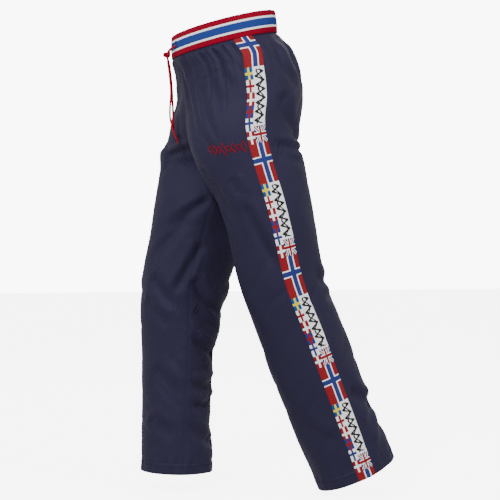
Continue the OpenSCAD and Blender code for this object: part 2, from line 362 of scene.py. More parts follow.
def leg_cloth_material():
    """Navy warp-knit tricot: fine wales down the leg, courses across, and a soft satin sheen."""
    m = Material("navy_tricot", Roughness=0.52, Specular_IOR_Level=0.17, Sheen_Weight=0.03,
                 Specular_Tint=(0.72, 0.70, 1.0, 1),
                 Sheen_Roughness=0.30, Sheen_Tint=(0.55, 0.55, 0.95, 1))
    across, along = m.uv()
    wales = (across * (2 * math.pi / 0.9)).sine()
    zigzag = (across * (math.pi / 0.9)).sine() * 0.9
    courses = ((along + zigzag) * (2 * math.pi / 0.7)).sine()
    cloud = m.noise(9.0, 3.0)
    yarn = m.noise(260.0, 2.0, (1, 1, 0.25))
    shade = cloud * 0.7 + yarn * 0.45 - 0.1
    m.colour(m.mix(shade, NAVY, NAVY_LIGHT))
    m.rough(yarn * 0.10 + 0.48)
    m.bump(wales * 0.6 + courses * 0.4 + yarn * 0.5, 0.00012, 0.55)
    return m.made


def rib_material():
    """Striped rib knit: red, white, blue, white and red rows down from the top edge."""
    m = Material("striped_rib", Roughness=0.75, Specular_IOR_Level=0.08, Sheen_Weight=0.04,
                 Sheen_Roughness=0.5, Sheen_Tint=(1, 0.9, 0.9, 1))
    across, drop = m.uv()
    stitches = (across * (2 * math.pi / 2.7)).sine()
    drop = drop + stitches * 0.18
    white = drop.between(12.2, 16.8).either(drop.between(32.8, 37.2))
    blue = drop.between(16.8, 32.8)
    fuzz = m.noise(420.0, 3.0)
    red = m.mix(fuzz, RED_DARK, RED)
    m.colour(m.mix(blue, m.mix(white, red, WHITE), BLUE))
    rows = (drop * (2 * math.pi / 1.5)).sine()
    m.bump(rows * 0.5 + fuzz * 0.8, 0.0002, 0.6)
    return m.made


def tape_material():
    """Printed woven tape: red blocks with a white-edged blue cross, and between them a white
    stretch with a black waved line beside a column of small coloured blocks."""
    m = Material("printed_tape", Roughness=0.55, Specular_IOR_Level=0.14, Sheen_Weight=0.03,
                 Sheen_Roughness=0.4)
    across, along = m.uv()
    period, first_cross, red_l, small_l, saltire_l = 240.0, 18.0, 84.0, 26.0, 35.0
    t = (along + (35.0 - first_cross)).mod(period)
    paint = m.mix(across.above(-4.5), TAPE_RED, WHITE)

    # The wavy line on the white stretch.
    swell = (t * (2 * math.pi / 18.0)).sine() * 6.4
    loops = (t * (2 * math.pi / 36.0) + 1.0).sine() * 5.0
    line = (across - 7.5 - swell).within(0, 3.8)
    line = line.either((across - 8.0 - loops).within(0, 1.7))
    line = line * t.between(red_l + 5, period - saltire_l - 4)
    paint = m.mix(line, paint, BLACK)

    # The column of small blocks: base colour, cross colour, and how far the cross's bar lies
    # from the block's middle.
    blocks = [
        (SKY, YELLOW, 0), (WHITE, TAPE_RED, 0), (TAPE_RED, WHITE, 3), (TAPE_BLUE, TAPE_RED, 0),
        (WHITE, TAPE_BLUE, -3), (TAPE_RED, WHITE, 0)]
    for i, (base, cross, shift) in enumerate(blocks):
        middle = red_l + (i + 0.5) * small_l
        here = t.within(middle, small_l / 2) * (across + 4.5).math("LESS_THAN", 0)
        bars = t.within(middle + shift, 2.6).either(across.within(-12.5, 2.1))
        paint = m.mix(here, paint, base)
        paint = m.mix(here * bars, paint, cross)

    # A blue block with white and red diagonals at the end of the white stretch.
    middle = period - saltire_l / 2
    here = t.within(middle, saltire_l / 2) * across.above(-4.5)
    u, v = across - 7.75, (t - middle) * 0.68
    diagonals = (u - v).within(0, 3.4).either((u + v).within(0, 3.4))
    red_lines = (u - v).within(0, 1.4).either((u + v).within(0, 1.4))
    plus = u.within(0, 3.2).either(v.within(0, 3.2))
    red_plus = u.within(0, 1.9).either(v.within(0, 1.9))
    paint = m.mix(here, paint, TAPE_BLUE)
    for mask, colour in ((diagonals, WHITE), (red_lines, TAPE_RED), (plus, WHITE),
                         (red_plus, TAPE_RED)):
        paint = m.mix(here * mask, paint, colour)

    # The large red block with its cross.
    here = t.between(0, red_l)
    wide = t.within(35, 7.6).either(across.within(3, 7.2))
    narrow = t.within(35, 4.9).either(across.within(3, 4.6))
    paint = m.mix(here, paint, TAPE_RED)
    paint = m.mix(here * wide, paint, WHITE)
    paint = m.mix(here * narrow, paint, TAPE_BLUE)
    m.colour(paint)
    ribs = (along * (2 * math.pi / 0.8)).sine()
    threads = (across * (2 * math.pi / 0.6)).sine()
    m.bump(ribs * 0.6 + threads * 0.4, 0.00012, 0.6)
    return m.made


def thread_material(name, colour, groove_shade_and_fleck, pitch=0.5, roughness=0.5):
    """Twisted or laid threads: fine ridges across the piece's length, with painted shade in the
    grooves between them.
    """
    m = Material(name, Roughness=roughness, Specular_IOR_Level=0.15, Sheen_Weight=0.04,
                 Sheen_Roughness=0.4)
    across, along = m.uv()
    twist = ((along + across * 0.6) * (2 * math.pi / pitch)).sine()
    fuzz = m.noise(600.0, 2.0)
    # The colour is painted shade where the twist's bump is low, darker in the grooves between the
    # twists; the noise adds random flecks of tone.
    m.colour(m.mix(twist * 0.3 + fuzz * 0.6 + 0.2, groove_shade_and_fleck, colour))
    m.bump(twist * 0.6 + fuzz * 0.5, 0.00015, 0.7)
    return m.made


cloth_look = leg_cloth_material()
rib_look = rib_material()
tape_look = tape_material()
cord_look = thread_material("red_braid", (0.40, 0.0, 0.016), (0.28, 0.0, 0.011), 1.6)
tip_look = thread_material(
    "sealed_cord_end", (0.24, 0.001, 0.008), (0.17, 0.001, 0.006), 2.4, 0.3)
buttonhole_look = thread_material(
    "buttonhole_thread", (0.012, 0.055, 0.25), (0.008, 0.035, 0.15))
embroidery_look = thread_material(
    "satin_stitch", (0.30, 0.001, 0.012), (0.18, 0.0008, 0.008), 0.45, 0.38)
stitch_look = thread_material("navy_thread", (0.012, 0.012, 0.034), (0.006, 0.006, 0.016), 0.6)
elastic_look = thread_material("white_elastic", (0.80, 0.80, 0.78), (0.55, 0.55, 0.55), 1.2, 0.7)


def dress(piece, look):
    piece.data.materials.clear()
    piece.data.materials.append(look)


# ---- Drawcord: the route's points are those of the CAD tubes ----

LEAD_ROUTE = [
    (0.0112, -0.105, -0.052), (0.0112, -0.109, -0.0535), (0.009, -0.115, -0.057),
    (0.0054, -0.1195, -0.062), (0.0036, -0.122, -0.0665)]
KNOT_AT = (0, -0.1235, -0.0705)
TAIL_ROUTES = {
    1: [(0.0027, -0.124, -0.074), (0.0028, -0.1235, -0.088), (0.0027, -0.121, -0.106),
        (0.0026, -0.1185, -0.128), (0.0026, -0.117, -0.148), (0.0027, -0.1175, -0.168),
        (0.0028, -0.119, -0.188), (0.0028, -0.1185, -0.206), (0.0027, -0.115, -0.222),
        (0.0026, -0.1095, -0.238), (0.0026, -0.1035, -0.252)],
    -1: [(-0.0027, -0.124, -0.074), (-0.0028, -0.120, -0.088), (-0.0027, -0.117, -0.106),
         (-0.0026, -0.1145, -0.128), (-0.0026, -0.113, -0.148), (-0.0027, -0.112, -0.168),
         (-0.0028, -0.111, -0.186), (-0.0028, -0.1105, -0.204), (-0.0027, -0.110, -0.222)]}


def braid(along, angle):
    """Bumps of a braid: two sets of strands that cross."""
    turn = 2 * math.pi * along / 0.0075
    strands = np.abs(np.sin(3 * angle + turn)) + np.abs(np.sin(3 * angle - turn))
    flat = -0.00010 * np.cos(2 * angle) ** 2
    return 0.00018 * (strands - 1.1) + flat


def make_cord(side):
    route = [(side * x, y, z) for x, y, z in LEAD_ROUTE] + TAIL_ROUTES[side]
    path = smooth_path(route, 0.0007)
    cord = tube(f"drawcord_{SIDE_NAME[side]}_end", path, CORD_D / 2, 18, braid)
    dress(cord, cord_look)
    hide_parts(f"drawcord_{SIDE_NAME[side]}_lead", f"drawcord_{SIDE_NAME[side]}_tail")
    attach(cord, "waist_and_seat")
    return cord, route, path


def make_knot():
    """An overhand knot round both ends: two slanting turns and a short ear towards the front."""
    centre = np.array(KNOT_AT)
    turns, samples = 2.25, 90
    t = np.linspace(0, 1, samples)
    angle = 2 * math.pi * turns * t + 0.6
    coil = np.stack([
        0.0056 * np.cos(angle), 0.0036 * np.sin(angle),
        0.0046 * (0.5 - t) * 1.5 + 0.0016 * np.cos(angle)], -1)
    ear_t = np.linspace(0, 1, 40)[:, None]
    ear = np.array([[0.001, -0.0035, 0.002]]) + np.hstack([
        0.003 * np.sin(math.pi * ear_t), -0.0055 * np.sin(math.pi * ear_t),
        -0.007 * ear_t + 0.001 * np.sin(2 * math.pi * ear_t)])
    wraps = tube("knot_wraps", centre + coil, CORD_D / 2, 18, braid)
    loop = tube("knot_ear", centre + ear, CORD_D / 2, 18, braid)
    return join("drawcord_tied_knot", [wraps, loop])


def join(name, pieces):
    bpy.ops.object.select_all(action="DESELECT")
    for piece in pieces:
        piece.select_set(True)
    bpy.context.view_layer.objects.active = pieces[0]
    if len(pieces) > 1:
        bpy.ops.object.join()
    pieces[0].name = name
    pieces[0].data.name = name
    return pieces[0]


cords = {side: make_cord(side) for side in SIDES}
knot = make_knot()
dress(knot, cord_look)
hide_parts("drawcord_knot")
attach(knot, "waist_and_seat")
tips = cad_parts["drawcord_tips"]
tips.data.materials.clear()
tips.data.materials.append(tip_look)
for side, (cord, route, path) in cords.items():
    path[::6].tolist() + [path[-1].tolist()]
    [knot, tips] if side == 1 else []

# ---- The straight leg and the step ----

SLOPES = np.array([
    (STATIONS[min(i + 1, 9)] - STATIONS[max(i - 1, 0)])
    / (STATIONS[min(i + 1, 9), 0] - STATIONS[max(i - 1, 0), 0]) for i in range(10)])


def ring(z):
    """The stations' columns at height z, as smooth curves through them."""
    z = np.asarray(z, float)
    i = np.clip(np.searchsorted(-STATIONS[:, 0], -z, side="right") - 1, 0, 8)
    a, b = STATIONS[i], STATIONS[i + 1]
    h = (b[..., 0] - a[..., 0])[..., None]
    t = (z - a[..., 0])[..., None] / h
    return (a * (1 + 2 * t) * (1 - t) ** 2 + b * t * t * (3 - 2 * t)
            + h * SLOPES[i] * t * (1 - t) ** 2 + h * SLOPES[i + 1] * t * t * (t - 1))


def smooth(t):
    t = np.clip(t, 0, 1)
    return t * t * (3 - 2 * t)


def swing(y, z, axis, angle):
    dy, dz = y - axis[0], z - axis[1]
    c, s = np.cos(angle), np.sin(angle)
    return axis[0] + dy * c - dz * s, axis[1] + dy * s + dz * c


def seam_angle(z):
    r = ring(z)
    return np.degrees(np.arccos(np.clip((-SEAM_LAP - r[..., 1]) / r[..., 2], -1, 1)))


def outseam(z):
    """The angle of the outseam, which leans forward of the ring's side, mostly over the seat."""
    return -3 - 6.5 * smooth((-z - 0.050) / 0.080) + 9.5 * np.clip((-z - 0.170) / 0.530, 0, 1)


def leg_point(side, z, angle, off):
    """A point of the leg as it stands in the step. z and angle are its place on the straight
    leg, where angle 0 is the outseam and -90 the front, and off is outward from the ring."""
    r = ring(z)
    a = np.radians(angle)
    y = r[..., 3] + (r[..., 4] + off) * np.sin(a)
    x = r[..., 1] + (r[..., 2] + off) * np.cos(a)
    z = z + np.tan(r[..., 5]) * y
    hip = smooth((x * math.sin(CREASE) - (z + RISE) * math.cos(CREASE)) / HIP_FOLD_L)
    knee = smooth((KNEE_Z + KNEE_FOLD_L / 2 - z) / KNEE_FOLD_L)
    if side < 0:
        flat = RIGHT_FLAT * smooth((KNEE_Z - z) / 0.160)
        centre = ring(np.minimum(z, 0))[..., 3]
        x = LEG_X + (x - LEG_X) * (1 + 0.5 * flat)
        y = centre + (y - centre) * (1 - flat)
        z = z + np.maximum(0, KNEE_Z - z) * RIGHT_BUNCH / (LEG_LENGTH + KNEE_Z)
    y, z = swing(y, z, KNEE_AXIS, knee * KNEE_BEND[side])
    y, z = swing(y, z, HIP_AXIS, hip * HIP_SWING[side])
    return np.stack([side * x, y, z], -1)


# ---- Folds in the cloth ----

# Each fold runs through points (angle in degrees, z in millimetres) of the straight leg, with
# its width and its depth in millimetres. A valley has a low ridge along its upper side.
LEFT_FOLDS = [
    # down from the waistband over the front
    ([(-88, -56), (-90, -120), (-84, -200), (-66, -300)], 9, 3.4),
    ([(-74, -56), (-77, -130), (-70, -215), (-50, -310)], 8, 3.0),
    ([(-62, -56), (-64, -130), (-60, -190), (-46, -270)], 7, 2.6),
    ([(-48, -56), (-51, -120), (-46, -190)], 7, 2.4),
    ([(-34, -56), (-37, -110), (-32, -165)], 7, 2.0),
    ([(-22, -56), (-24, -100), (-20, -140)], 7, 1.6),
    # from the hip over the seat
    ([(20, -66), (24, -120), (44, -175)], 10, 3.6),
    ([(44, -66), (52, -130), (70, -190)], 10, 3.2),
    ([(66, -70), (74, -130), (88, -180)], 10, 2.4),
    ([(14, -170), (30, -225), (58, -266)], 12, 3.0),
    # under the seat
    ([(6, -278), (24, -291), (44, -300), (72, -304), (104, -298)], 10, 4.0),
    ([(12, -296), (28, -316), (52, -332), (80, -336)], 11, 2.2),
    ([(40, -262), (64, -276), (92, -272)], 12, 2.4),
    # the drag from the crotch down to the knee
    ([(-50, -328), (-45, -372)], 12, 1.8),
    ([(-46, -380), (-34, -466), (-16, -550)], 13, 3.4),
    ([(-92, -300), (-78, -360), (-66, -430)], 14, 2.2),
    # the back of the knee and the calf
    ([(34, -568), (60, -590), (90, -598), (116, -592)], 13, 3.6),
    ([(40, -610), (64, -630), (92, -642)], 14, 2.6),
    ([(22, -822), (44, -858), (74, -884), (102, -892)], 14, 4.6),
    ([(30, -925), (64, -880), (96, -846)], 16, 2.6),
    ([(36, -975), (70, -938), (104, -915)], 16, 2.4),
    ([(-60, -860), (-30, -905), (-4, -925)], 16, 1.8),
]
RIGHT_FOLDS = [
    # across the top of the thigh, from the crotch
    ([(-84, -292), (-104, -278), (-126, -270), (-150, -280)], 10, 4.4),
    ([(-96, -236), (-118, -252), (-140, -272)], 9, 3.0),
    ([(-88, -318), (-112, -306), (-140, -312)], 12, 2.0),
    # diagonals on the inside of the thigh
    ([(-174, -378), (-150, -428), (-120, -474)], 12, 3.6),
    ([(-160, -430), (-136, -480), (-108, -540)], 12, 3.0),
    ([(176, -470), (-172, -540), (-150, -610)], 12, 3.4),
    ([(166, -340), (150, -372), (128, -398)], 14, 2.2),
    # round the knee
    ([(-116, -556), (-140, -596), (-172, -630)], 15, 3.2),
    ([(178, -550), (154, -600), (118, -640)], 14, 4.6),
    ([(-106, -600), (-130, -640), (-160, -668)], 16, 2.4),
    ([(172, -620), (148, -652), (116, -676)], 13, 3.0),
    # the slack behind the calf
    ([(112, -734), (134, -722), (158, -706), (178, -684)], 12, 5.0),
    ([(98, -792), (126, -806), (156, -806), (-178, -784)], 12, 4.4),
    ([(96, -838), (122, -846), (154, -854), (178, -836)], 11, 4.6),
    ([(100, -946), (130, -938), (162, -908), (-178, -880)], 13, 3.6),
    ([(-120, -760), (-148, -800), (-176, -830)], 18, 2.4),
    ([(-112, -880), (-140, -905), (-170, -925)], 16, 2.2),
    # the outside, which mirrors the left leg's hang
    ([(-78, -58), (-80, -130), (-70, -215), (-52, -300)], 11, 2.8),
    ([(-46, -60), (-50, -130), (-40, -200)], 10, 2.4),
    ([(22, -66), (30, -125), (50, -180)], 11, 2.4),
    ([(-66, -250), (-46, -280), (-22, -300)], 12, 3.6),
    ([(-20, -560), (-50, -590), (-84, -604)], 15, 2.4),
    ([(36, -560), (66, -590), (96, -606)], 14, 4.0),
    ([(30, -800), (60, -842), (92, -850)], 14, 3.6),
    ([(24, -870), (54, -906), (86, -915)], 15, 3.0),
]
FOLDS = {1: LEFT_FOLDS, -1: RIGHT_FOLDS}
FOLD_RADIUS = 0.098                 # turns a fold's degrees into a length round the leg
FOLD_GAIN = 1.6


def fold_relief(points, width, depth, z, angle):
    """How far one fold moves the cloth outward."""
    p = np.array(points, float)
    p[:, 0] = np.degrees(np.unwrap(np.radians(p[:, 0])))
    line = smooth_path(np.c_[p, np.zeros(len(p))], 6.0)[:, :2]
    s = np.radians(line[:, 0]) * FOLD_RADIUS
    h = line[:, 1] / 1000
    share = np.linspace(0, 1, len(line))
    w = width / 1000
    reach = 4.5 * w
    middle = (line[:, 0].min() + line[:, 0].max()) / 2
    half = np.ptp(line[:, 0]) / 2 + math.degrees(reach / FOLD_RADIUS)
    near = (z < h.max() + reach) & (z > h.min() - reach)
    near &= np.abs((angle - middle + 180) % 360 - 180) < half
    whole = np.zeros(z.shape)
    z, angle = z[near], angle[near]
    best = np.full(z.shape, 1e9)
    at = np.zeros(z.shape)
    above = np.zeros(z.shape)
    for k in range(len(line)):
        around = (angle - line[k, 0] + 180) % 360 - 180
        ds = np.radians(around) * FOLD_RADIUS
        dz = z - h[k]
        d = ds * ds + dz * dz
        nearer = d < best
        best = np.where(nearer, d, best)
        at = np.where(nearer, share[k], at)
        j, i = min(k + 1, len(line) - 1), max(k - 1, 0)
        along = np.array([s[j] - s[i], h[j] - h[i]])
        along /= np.linalg.norm(along)
        if along[0] < 0:
            along = -along
        above = np.where(nearer, dz * along[0] - ds * along[1], above)
    far = np.sqrt(best)
    ends = smooth(at / 0.15) * smooth((1 - at) / 0.35)
    past = np.exp(-np.clip(best / (w * w), 0, 30))
    ridge = np.exp(-((above - 1.7 * w) / w) ** 2) * np.exp(-(far - np.abs(above)) ** 2 / (w * w))
    whole[near] = FOLD_GAIN * depth / 1000 * (-past + 0.5 * ridge) * ends
    return whole


# Broad bulges of the hanging cloth: middle angle, spread, z of the middle, half height, amount.
FULLNESS = {
    1: [(-108, 42, -0.62, 0.20, 0.0045), (-108, 42, -0.82, 0.16, 0.0060),
        (95, 40, -0.990, 0.080, 0.0060)],
    -1: [(112, 36, -0.520, 0.100, 0.0185), (112, 40, -0.635, 0.095, 0.0115),
         (-62, 28, -0.240, 0.100, 0.0140), (-72, 42, -0.725, 0.150, 0.0060),
         (112, 42, -0.990, 0.080, 0.0090)]}


def fullness(side, z, angle):
    total = 0.0
    for middle, spread, at, half, amount in FULLNESS[side]:
        around = np.exp(-(((angle - middle + 180) % 360 - 180) / spread) ** 2)
        total = total + amount * around * smooth((half - np.abs(z - at)) / (0.62 * half))
    return total


def gathers(side, z, angle):
    """Small pleats under the waistband, deepest at the front, that fade out down the seat."""
    down = -BAND_H - z
    around = np.radians(angle)
    reach = 0.085 + 0.075 * np.exp(-((angle + 55) / 45) ** 2) + 0.022 * np.sin(17 * around)
    fade = smooth(down / 0.012) * (1 - np.clip(down / reach, 0, 1)) ** 1.2
    front = 0.45 + 0.55 * smooth((30 - angle) / 60)
    drift = around + 0.25 * down
    phase = 19 * drift + 1.5 * np.sin(3 * drift + side) + 0.9 * np.sin(7 * drift)
    return -0.0068 * fade * front * (np.exp(-np.sin(phase) ** 2 / 0.15) - 0.27)


def slack(side, z, angle):
    """Broad, shallow unevenness of hanging cloth."""
    a = np.radians(angle)
    q = 1.3 if side > 0 else 2.9
    return 0.0011 * (
        np.sin(2 * a + 17 * z + q) * np.sin(11 * z + q)
        + 0.6 * np.sin(5 * a - 23 * z + 2 * q)
        + 0.45 * np.sin(7 * a + 41 * z + 3 * q)) * smooth((-z - 0.06) / 0.1)


def crease_band(s, h, lean, spacing, sharp):
    """Valleys that run at that lean, spacing apart: 1 at a valley's floor, 0 between them."""
    phase = math.pi * (h * math.cos(lean) - s * math.sin(lean)) / spacing
    return np.exp(-np.sin(phase) ** 2 / sharp)


def wrinkles(side, z, angle):
    """Families of slanting creases that come and go, strongest behind the knees and calves,
    over the hip and at the front of the thigh."""
    q = 0.8 if side > 0 else 3.7
    s = np.radians(angle) * FOLD_RADIUS
    bent_s = s + 0.011 * np.sin(29 * z + q) + 0.004 * np.sin(61 * z + 2 * q)
    a = np.radians(angle)
    bent_z = z + 0.010 * np.sin(2 * a + q) + 0.005 * np.sin(5 * a + 2 * q)

    def patch(m, n, shift):
        return smooth(0.5 + 0.9 * np.sin(m * a + n * z + shift + q))

    rear = np.exp(-((np.abs(angle) - 115) / 60) ** 2) * (angle > 0) + 0.25
    low = smooth((-z - 0.48) / 0.12)
    drag = crease_band(bent_s, bent_z, math.radians(38), 0.062, 0.16) * patch(2, 19, 0)
    slump = crease_band(bent_s, bent_z, math.radians(-28), 0.078, 0.10) * patch(3, -17, 1.4)
    hang = crease_band(bent_s, bent_z, math.radians(72), 0.050, 0.22) * patch(1, 13, 2.6)
    depth = (0.0015 if side > 0 else 0.0024) * slump * rear * low
    depth = depth + 0.0016 * drag * (0.4 + 0.6 * low)
    depth = depth + 0.0014 * hang * (1 - low) * smooth((-z - 0.07) / 0.08)
    return -depth


def hem_pucker(side, z, angle):
    """Little waves where the turned-up hem is stitched."""
    up = z + LEG_LENGTH
    a = np.radians(angle)
    ripple = np.sin(15 * a + side) + 0.6 * np.sin(26 * a + 2 * side)
    near = np.exp(-((up - 0.022) / 0.014) ** 2)
    return (0.0008 if side > 0 else 0.0013) * ripple * near


def relief(side, z, angle):
    """How far the cloth stands out from the plain ring."""
    angle = (angle + 180) % 360 - 180
    away = smooth((180 - np.abs(angle)) / 14)
    total = gathers(side, z, angle) + slack(side, z, angle) + wrinkles(side, z, angle) * away
    total = total + hem_pucker(side, z, angle) + fullness(side, z, angle)
    for points, width, depth in FOLDS[side]:
        total = total + fold_relief(points, width, depth, z, angle)
    above = smooth((z + RISE + 0.03) / 0.03)
    total = total * (1 - above * (1 - smooth((seam_angle(z) - np.abs(angle)) / 9)))
    taped = np.exp(-((angle - outseam(z)) / 15) ** 2)
    total = total * (1 - 0.55 * taped)
    tuck = smooth((z + BAND_H + 0.008) / 0.009)
    total = total * (1 - tuck) - 0.0028 * tuck
    seam = 0.0008 * np.exp(-((180 - np.abs(angle)) / 2.5) ** 2) * smooth((-z - RISE) / 0.02)
    return total - seam


def surface(side, z, angle, off=0.0):
    return leg_point(side, z, angle, relief(side, z, angle) + off)


def grid_normals(points, out):
    """Unit normals of a grid of points; out is a grid of directions they have to agree with."""
    normal = np.cross(np.gradient(points, axis=1), np.gradient(points, axis=0))
    normal /= np.linalg.norm(normal, axis=-1)[..., None] + 1e-12
    agree = np.sign(np.sum(normal * out, -1))[..., None]
    return normal * np.where(agree == 0, 1, agree)


# ---- Panels ----

PANEL_TOP = -BAND_H + 0.003         # sewn in between the waistband's two layers
PANEL_END = -LEG_LENGTH + HEM_H + 0.0001
ROWS_UPPER, ROWS_LOWER, COLUMNS = 124, 130, 116


def panel_grid(side, direction, top, bottom, rows, columns):
    z = np.linspace(top, bottom, rows)[:, None] * np.ones((1, columns))
    u = np.linspace(0, 1, columns)[None, :] * np.ones((rows, 1))
    angle = outseam(z) * (1 - u) + direction * (
        0.15 * (1 - u) + u * (seam_angle(z) + SEAM_LAP_TURN))
    outer = surface(side, z, angle)
    out = surface(side, z, angle, 0.002) - outer
    normal = grid_normals(outer, out)
    around = np.radians(angle) * FOLD_RADIUS
    return outer, normal, np.stack([around, z], -1)


def blend_hip(piece, side):
    across = Vector((side * math.sin(CREASE), 0, -math.cos(CREASE)))
    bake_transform(piece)


def blend_knee(piece, side):
    for z in (KNEE_Z + KNEE_FOLD_L / 2, KNEE_Z - KNEE_FOLD_L / 2):
        rings = leg_point(side, np.array([z, z]), np.array([-90.0, 90.0]), 0.0)
    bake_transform(piece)


def sheet_area(outer):
    a = np.cross(outer[1:, :-1] - outer[:-1, :-1], outer[:-1, 1:] - outer[:-1, :-1])
    return float(np.linalg.norm(a, axis=-1).sum())


def make_panel(side, direction):
    name = f"{SIDE_NAME[side]}_{PANELS[direction]}"
    whole = panel_grid(side, direction, PANEL_TOP, PANEL_END, ROWS_UPPER + ROWS_LOWER, COLUMNS)
    z = whole[2][:, 0, 1]
    cut = int(np.searchsorted(-z, -SPLIT_Z))
    for part, rows in (("upper", slice(0, cut + 1)), ("lower", slice(cut, None))):
        outer, normal, uv = (g[rows] for g in whole)
        piece = shell(f"{name}_{part}_panel", outer, outer - CLOTH * normal, uv, normal)
        dress(piece, cloth_look)
        zones = ("seat", "hip_fold", "thigh") if part == "upper" else ("knee_fold", "shin")
        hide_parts(*[f"{name}_{zone}" for zone in zones])
        if part == "upper":
            blend_hip(piece, side)
        else:
            blend_knee(piece, side)
        area = sheet_area(outer)


# ---- Tapes, hems and stitches ----


def make_tape(side):
    columns = 17
    rows = ROWS_UPPER + ROWS_LOWER
    z = np.linspace(PANEL_TOP + 0.001, -LEG_LENGTH + 0.0006, rows)[:, None] * np.ones((1, columns))
    across = np.linspace(-0.5, 0.5, columns)[None, :] * np.ones((rows, 1)) * TAPE_W
    angle = outseam(z) + np.degrees(across / ring(z)[..., 4])
    edge = smooth((TAPE_W / 2 - np.abs(across)) / 0.0012)
    outer = surface(side, z, angle, TAPE_OFF + TAPE_T * (0.25 + 0.75 * edge))
    inner = surface(side, z, angle, TAPE_OFF * 0.5)
    normal = grid_normals(outer, outer - inner)
    uv = np.stack([across, -BAND_H - z], -1)
    cut = int(np.searchsorted(-z[:, 0], -SPLIT_Z))
    for part, pick in (("upper", slice(0, cut + 1)), ("lower", slice(cut, None))):
        piece = shell(f"{SIDE_NAME[side]}_side_tape_{part}", outer[pick], inner[pick], uv[pick],
                      normal[pick])
        dress(piece, tape_look)
        zones = ("seat", "hip_fold", "thigh") if part == "upper" else ("knee_fold", "shin")
        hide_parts(*[f"{SIDE_NAME[side]}_tape_{zone}" for zone in zones])
        if part == "upper":
            blend_hip(piece, side)
        else:
            blend_knee(piece, side)


def make_hem(side):
    """The turned-up end: the outer layer runs on from the panels, folds under and comes up."""
    steps = 120
    angle = np.linspace(0, 360, steps, endpoint=False)[None, :]
    profile = [
        (HEM_H, 0.0), (HEM_H - 0.0004, 0.0004), (0.020, 0.0002), (0.012, 0.0005), (0.004, 0.0006),
        (0.0006, 0.0002), (0.0, -0.0012), (0.0006, -0.0026), (0.004, -0.0030), (0.014, -0.0030),
        (HEM_H - 0.001, -0.0027), (HEM_H, -0.0022)]
    up = np.array([p[0] for p in profile])[:, None]
    off = np.array([p[1] for p in profile])[:, None]
    ones = np.ones((len(profile), steps))
    angle = angle * ones
    z = -LEG_LENGTH + up * ones
    loops = surface(side, z, angle, off * ones)
    uv = np.stack([np.radians(angle) * HEM_RY, z], -1)
    hem = closed_band(f"{SIDE_NAME[side]}_leg_hem", loops, uv)
    dress(hem, cloth_look)
    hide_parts(f"{SIDE_NAME[side]}_hem")
    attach(hem, f"{SIDE_NAME[side]}_shin")


def make_hem_stitches(side):
    """A row of straight stitches round the hem, all in one piece."""
    count = 118
    length, radius = 0.0030, 0.00042
    sides = 6
    verts, faces, uv = [], [], []
    for k in range(count):
        middle = 360 * (k + 0.5) / count
        if abs((middle + 180) % 360 - 180) < 13:
            continue
        span = np.degrees(length / 2 / HEM_RY)
        shares = np.array([-1.0, -0.75, 0.0, 0.75, 1.0])
        girth = np.array([0.25, 0.8, 1.0, 0.8, 0.25])
        z = np.full(5, -LEG_LENGTH + 0.0205)
        path = surface(side, z, middle + shares * span, 0.0004 + 0.0002 * girth)
        ahead = path[-1] - path[0]
        ahead /= np.linalg.norm(ahead)
        up = np.array([0, 0, 1.0]) - ahead[2] * ahead
        up /= np.linalg.norm(up)
        out = np.cross(ahead, up)
        base = len(verts)
        for p, g in zip(path, girth):
            for j in range(sides):
                t = 2 * math.pi * j / sides
                verts.append(p + radius * g * (math.cos(t) * up + math.sin(t) * out))
                uv.append((t * radius, np.dot(p - path[0], ahead)))
        for i in range(4):
            for j in range(sides):
                a, b = base + i * sides + j, base + i * sides + (j + 1) % sides
                faces.append((a, b, b + sides, a + sides))
        faces.append(tuple(base + j for j in range(sides - 1, -1, -1)))
        faces.append(tuple(base + 4 * sides + j for j in range(sides)))
    piece = new_mesh(f"{SIDE_NAME[side]}_hem_stitches", verts, faces, uv)
    dress(piece, stitch_look)
    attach(piece, f"{SIDE_NAME[side]}_shin")


# ---- Waist ----

RIBS = 300
FOLD_DEPTH, RIB_T = 0.0064, 0.0016
BAND_MEAN_R = 0.1297                # turns the band's angles into lengths for its pattern


def band_point(drop, angle, off):
    """A point of the waistband; angle in radians, drop down from the top edge."""
    flare = drop / BAND_H
    y = 0.003 * flare + (WAIST_RY + 0.002 * flare + off) * np.sin(angle)
    x = (WAIST_RX + 0.003 * flare + off) * np.cos(angle)
    return np.stack([x, y, -drop + math.tan(WAIST_TILT) * y], -1)


def band_profile():
    """The folded band's outline as (drop, off, share of the ribs' height), down the outer face
    last: bottom outer edge, up, over the fold, down inside, and back through the pocket."""
    outline = []
    for t in np.linspace(0, 1, 17):
        drop = BAND_H - 0.0006 - t * (BAND_H - 0.0036)
        outline.append((drop, 0.0011 * math.sin(math.pi * t) - 0.0002, 1.0))
    middle, half = -FOLD_DEPTH / 2, FOLD_DEPTH / 2
    for t in np.linspace(0.06, 0.94, 9):
        turn = math.pi * t
        outline.append((0.003 - 0.0030 * math.sin(turn), middle + half * math.cos(turn), 0.8))
    for t in np.linspace(0, 1, 9):
        bulge = 0.0002 * math.sin(math.pi * t)
        outline.append((0.003 + t * (BAND_H - 0.0036), -FOLD_DEPTH - bulge, 0.8))
    back = -FOLD_DEPTH + RIB_T
    pocket = [
        (BAND_H, -FOLD_DEPTH + 0.0006), (BAND_H - 0.0003, back), (BAND_H / 2, back),
        (RIB_T + 0.0008, back + 0.0002), (RIB_T + 0.0002, middle),
        (RIB_T + 0.0008, -RIB_T - 0.0002), (BAND_H / 2, -RIB_T), (BAND_H - 0.0003, -RIB_T),
        (BAND_H, -0.0008)]
    outline += [(drop, off, 0.0) for drop, off in pocket]
    return np.array(outline)


